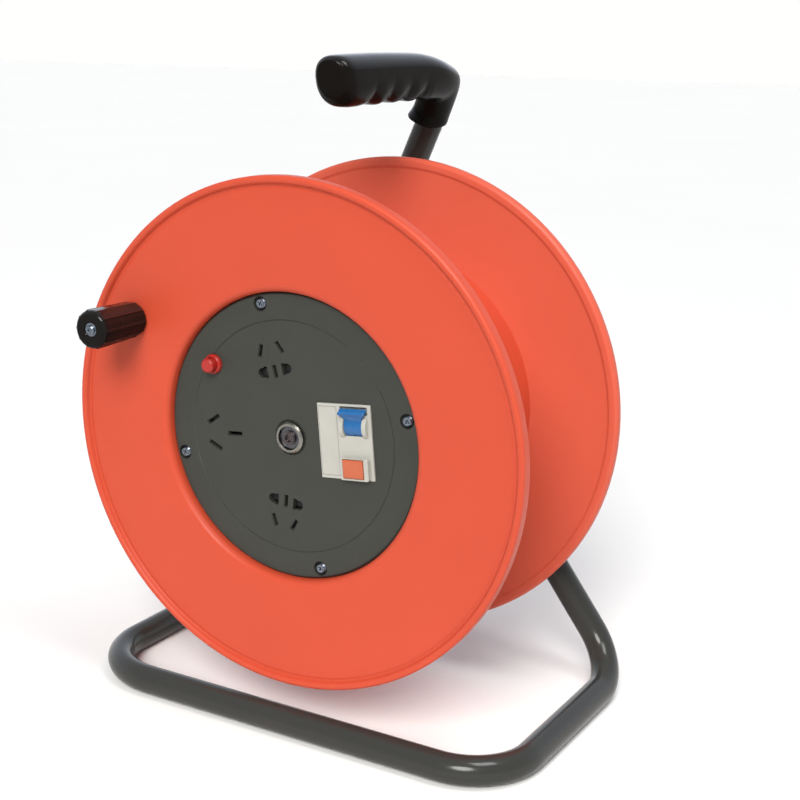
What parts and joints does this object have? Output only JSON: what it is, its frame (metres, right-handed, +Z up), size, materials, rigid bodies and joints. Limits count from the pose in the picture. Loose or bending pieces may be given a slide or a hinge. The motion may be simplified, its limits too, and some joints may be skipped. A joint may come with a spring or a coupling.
{
  "type": "extension cord reel",
  "caption": "Extension cord reel: orange drum on a bent-tube stand with a rear grip, crank knob, and a round panel of mains sockets, a breaker with toggle and a reset button.",
  "frame": {"origin": "centre of the footprint, on the floor", "axes": "+Z up, front with the socket panel towards -Y, drum axle along Y"},
  "size_m": [0.3186, 0.2265, 0.4066],
  "materials": {
    "tube_paint": "satin dark grey powder coat",
    "zinc_steel": "bright zinc plating",
    "chrome_ring": "polished",
    "grip_black": "satin gloss black",
    "knob_black": "satin",
    "drum_orange": "satin gloss orange-red",
    "panel_grey": "fine texture, dark grey",
    "ivory": "light grey ivory",
    "insert_black": "plain",
    "toggle_blue": "gloss blue",
    "test_orange": "gloss orange",
    "reset_red": "gloss red",
    "nylon": "natural nylon",
    "brass": "plain",
    "pvc_brown": "cable insulation",
    "pvc_blue": "cable insulation",
    "pvc_green": "cable insulation"
  },
  "bodies": {
    "stand": {"base_tube": "tube_paint", "left_leg_tube": "tube_paint", "right_leg_tube": "tube_paint", "axle_bracket": "tube_paint", "axle": "zinc_steel", "axle_weld": "tube_paint", "axle_spacer": "zinc_steel", "thrust_washer": "zinc_steel", "retaining_washer": "zinc_steel", "axle_screw": "zinc_steel", "grip_left_shell": "grip_black", "grip_right_shell": "grip_black", "grip_screws": "zinc_steel"},
    "drum": {"front_flange": "drum_orange", "drum_core": "drum_orange", "rear_flange": "drum_orange", "flange_screws": "zinc_steel", "front_bush": "chrome_ring", "rear_bush": "nylon", "socket_panel": "panel_grey", "panel_screws": "zinc_steel", "top_socket_body": "insert_black", "bottom_socket_body": "insert_black", "left_socket_body": "insert_black", "top_socket_contacts": "brass", "bottom_socket_contacts": "brass", "left_socket_contacts": "brass", "socket_screws": "zinc_steel", "rcd_housing": "ivory", "rcd_cover": "ivory", "overload_body": "insert_black", "overload_collar": "reset_red", "terminal_block": "nylon", "terminal_screws": "brass", "wire_live": "pvc_brown", "wire_neutral": "pvc_blue", "wire_earth": "pvc_green", "cable_gland": "insert_black", "gland_nut": "insert_black", "cord_clamp": "nylon", "cord_clamp_screws": "zinc_steel", "knob_sleeve": "zinc_steel", "knob_washer": "zinc_steel", "knob_screw": "zinc_steel"},
    "knob": {"knob": "knob_black"},
    "toggle": {"rcd_toggle": "toggle_blue"},
    "test_button": {"rcd_test_button": "test_orange"},
    "reset_button": {"overload_reset_button": "reset_red"},
    "top_shutter": {"top_socket_shutter": "ivory"},
    "bottom_shutter": {"bottom_socket_shutter": "ivory"},
    "left_shutter": {"left_socket_shutter": "ivory"}
  },
  "joints": [
    {"name": "drum_spin", "type": "hinge", "parent": "stand", "child": "drum", "pos_m": [0, -0.0054, 0.1855], "axis": [0, 1, 0], "continuous": true},
    {"name": "knob_spin", "type": "hinge", "parent": "drum", "child": "knob", "pos_m": [-0.11201, -0.0914, 0.24556], "axis": [0, 1, 0], "continuous": true},
    {"name": "rcd_toggle_flip", "type": "hinge", "parent": "drum", "child": "toggle", "pos_m": [0.04444, -0.063, 0.19872], "axis": [0.9954, 0, 0.0958], "range_deg": [0, 70]},
    {"name": "test_button_press", "type": "slide", "parent": "drum", "child": "test_button", "axis": [0, 1, 0], "range_m": [0, 0.0012], "stiffness_N_per_m": 500, "springref_m": -0.001},
    {"name": "overload_reset_press", "type": "slide", "parent": "drum", "child": "reset_button", "axis": [0, 1, 0], "range_m": [0, 0.0025], "stiffness_N_per_m": 400, "springref_m": -0.0012},
    {"name": "top_shutter_slide", "type": "slide", "parent": "drum", "child": "top_shutter", "axis": [-0.2756, 0, 0.9613], "range_m": [0, 0.0072], "stiffness_N_per_m": 50, "springref_m": -0.004},
    {"name": "bottom_shutter_slide", "type": "slide", "parent": "drum", "child": "bottom_shutter", "axis": [-0.0785, 0, -0.9969], "range_m": [0, 0.0072], "stiffness_N_per_m": 50, "springref_m": -0.004},
    {"name": "left_shutter_slide", "type": "slide", "parent": "drum", "child": "left_shutter", "axis": [-0.9954, 0, -0.0958], "range_m": [0, 0.0103], "stiffness_N_per_m": 50, "springref_m": -0.004}
  ]
}
